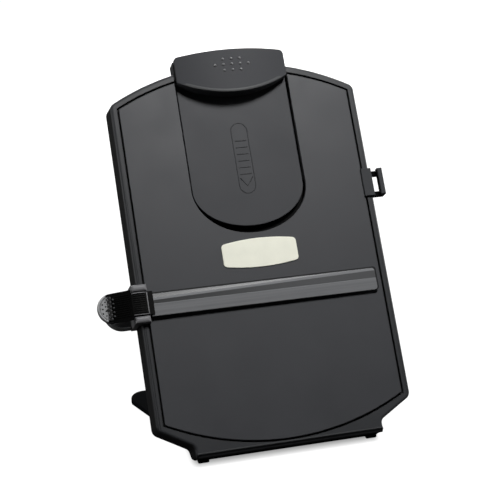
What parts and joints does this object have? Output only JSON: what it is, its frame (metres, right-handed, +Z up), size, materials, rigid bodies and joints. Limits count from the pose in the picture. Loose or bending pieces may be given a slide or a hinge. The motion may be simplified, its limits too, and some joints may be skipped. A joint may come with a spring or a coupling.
{
  "type": "copy holder with line guide",
  "caption": "Desktop copy holder: a leaning board on a weighted base with a propped tilt, a sliding line guide with a thumb lever, a pull-up panel with a paper clip, and a pen clip.",
  "frame": {"origin": "on the desk, under the middle of the whole object's box", "axes": "+X to the reader's right, +Y away from the reader, +Z up"},
  "size_m": [0.3076, 0.2632, 0.3344],
  "materials": {
    "board_plastic": "finely grained matte black-grey moulding",
    "panel_plastic": "finely grained matte black-grey face",
    "slide_plastic": "matte dark grey",
    "clip_plastic": "matte dark grey",
    "carriage_plastic": "matte dark grey",
    "bar_plastic": "semi-gloss smoked grey",
    "base_plastic": "matte black",
    "badge": "satin cream",
    "rubber": "matte black rubber",
    "steel": "plain steel"
  },
  "bodies": {
    "base": {"base_plate": "base_plastic", "ballast_plate": "steel", "ballast_screws": "steel", "front_feet": "rubber", "rear_feet": "rubber", "hinge_rod": "steel", "prop_rod": "steel"},
    "board": {"board_frame": "board_plastic", "front_panel": "panel_plastic", "back_cover": "board_plastic", "cover_screws": "steel", "slide_tray": "board_plastic", "tray_screws": "steel", "slide_keepers": "board_plastic", "badge_plate": "badge", "prop_rack": "board_plastic"},
    "slide": {"slide_panel": "slide_plastic", "slide_head": "slide_plastic", "clip_mount": "slide_plastic", "clip_pin": "steel", "clip_spring": "steel"},
    "clip": {"clip_lever": "clip_plastic", "clip_pad": "rubber"},
    "carriage": {"guide_carriage": "carriage_plastic", "carriage_pad": "rubber", "guide_pin": "steel", "guide_spring": "steel"},
    "guide": {"guide_lever": "carriage_plastic", "thumb_pad": "rubber", "guide_bar": "bar_plastic"},
    "pen_holder": {"pen_clip": "carriage_plastic"},
    "prop": {"prop_leg": "base_plastic", "prop_bar": "steel"}
  },
  "joints": [
    {"name": "board_tilt", "type": "hinge", "parent": "base", "child": "board", "pos_m": [0.01275, -0.12016, 0.0131], "axis": [1, 0, 0], "range_deg": [-12, 12]},
    {"name": "prop_swing", "type": "hinge", "parent": "base", "child": "prop", "pos_m": [0.01275, -0.01416, 0.0131], "axis": [1, 0, 0], "range_deg": [-27, 27]},
    {"name": "slide_extend", "type": "slide", "parent": "board", "child": "slide", "axis": [0, 0.6192, 0.7852], "range_m": [0, 0.07]},
    {"name": "clip_open", "type": "hinge", "parent": "slide", "child": "clip", "pos_m": [0.01275, 0.09723, 0.30651], "axis": [-1, 0, 0], "range_deg": [0, 10], "stiffness_Nm_per_rad": 0.1, "springref_deg": -17.19},
    {"name": "guide_travel", "type": "slide", "parent": "board", "child": "carriage", "axis": [0, 0.6192, 0.7852], "range_m": [-0.085, 0.165]},
    {"name": "guide_lift", "type": "hinge", "parent": "carriage", "child": "guide", "pos_m": [-0.11285, -0.04112, 0.1348], "axis": [0, -0.6192, -0.7852], "range_deg": [0, 10], "stiffness_Nm_per_rad": 0.15, "springref_deg": -17.19},
    {"name": "pen_slide", "type": "slide", "parent": "board", "child": "pen_holder", "axis": [0, 0.6192, 0.7852], "range_m": [-0.19, 0.07]}
  ],
  "couplings": [
    {"joint": "prop_swing", "follows": "board_tilt", "ratio": 2.187}
  ]
}
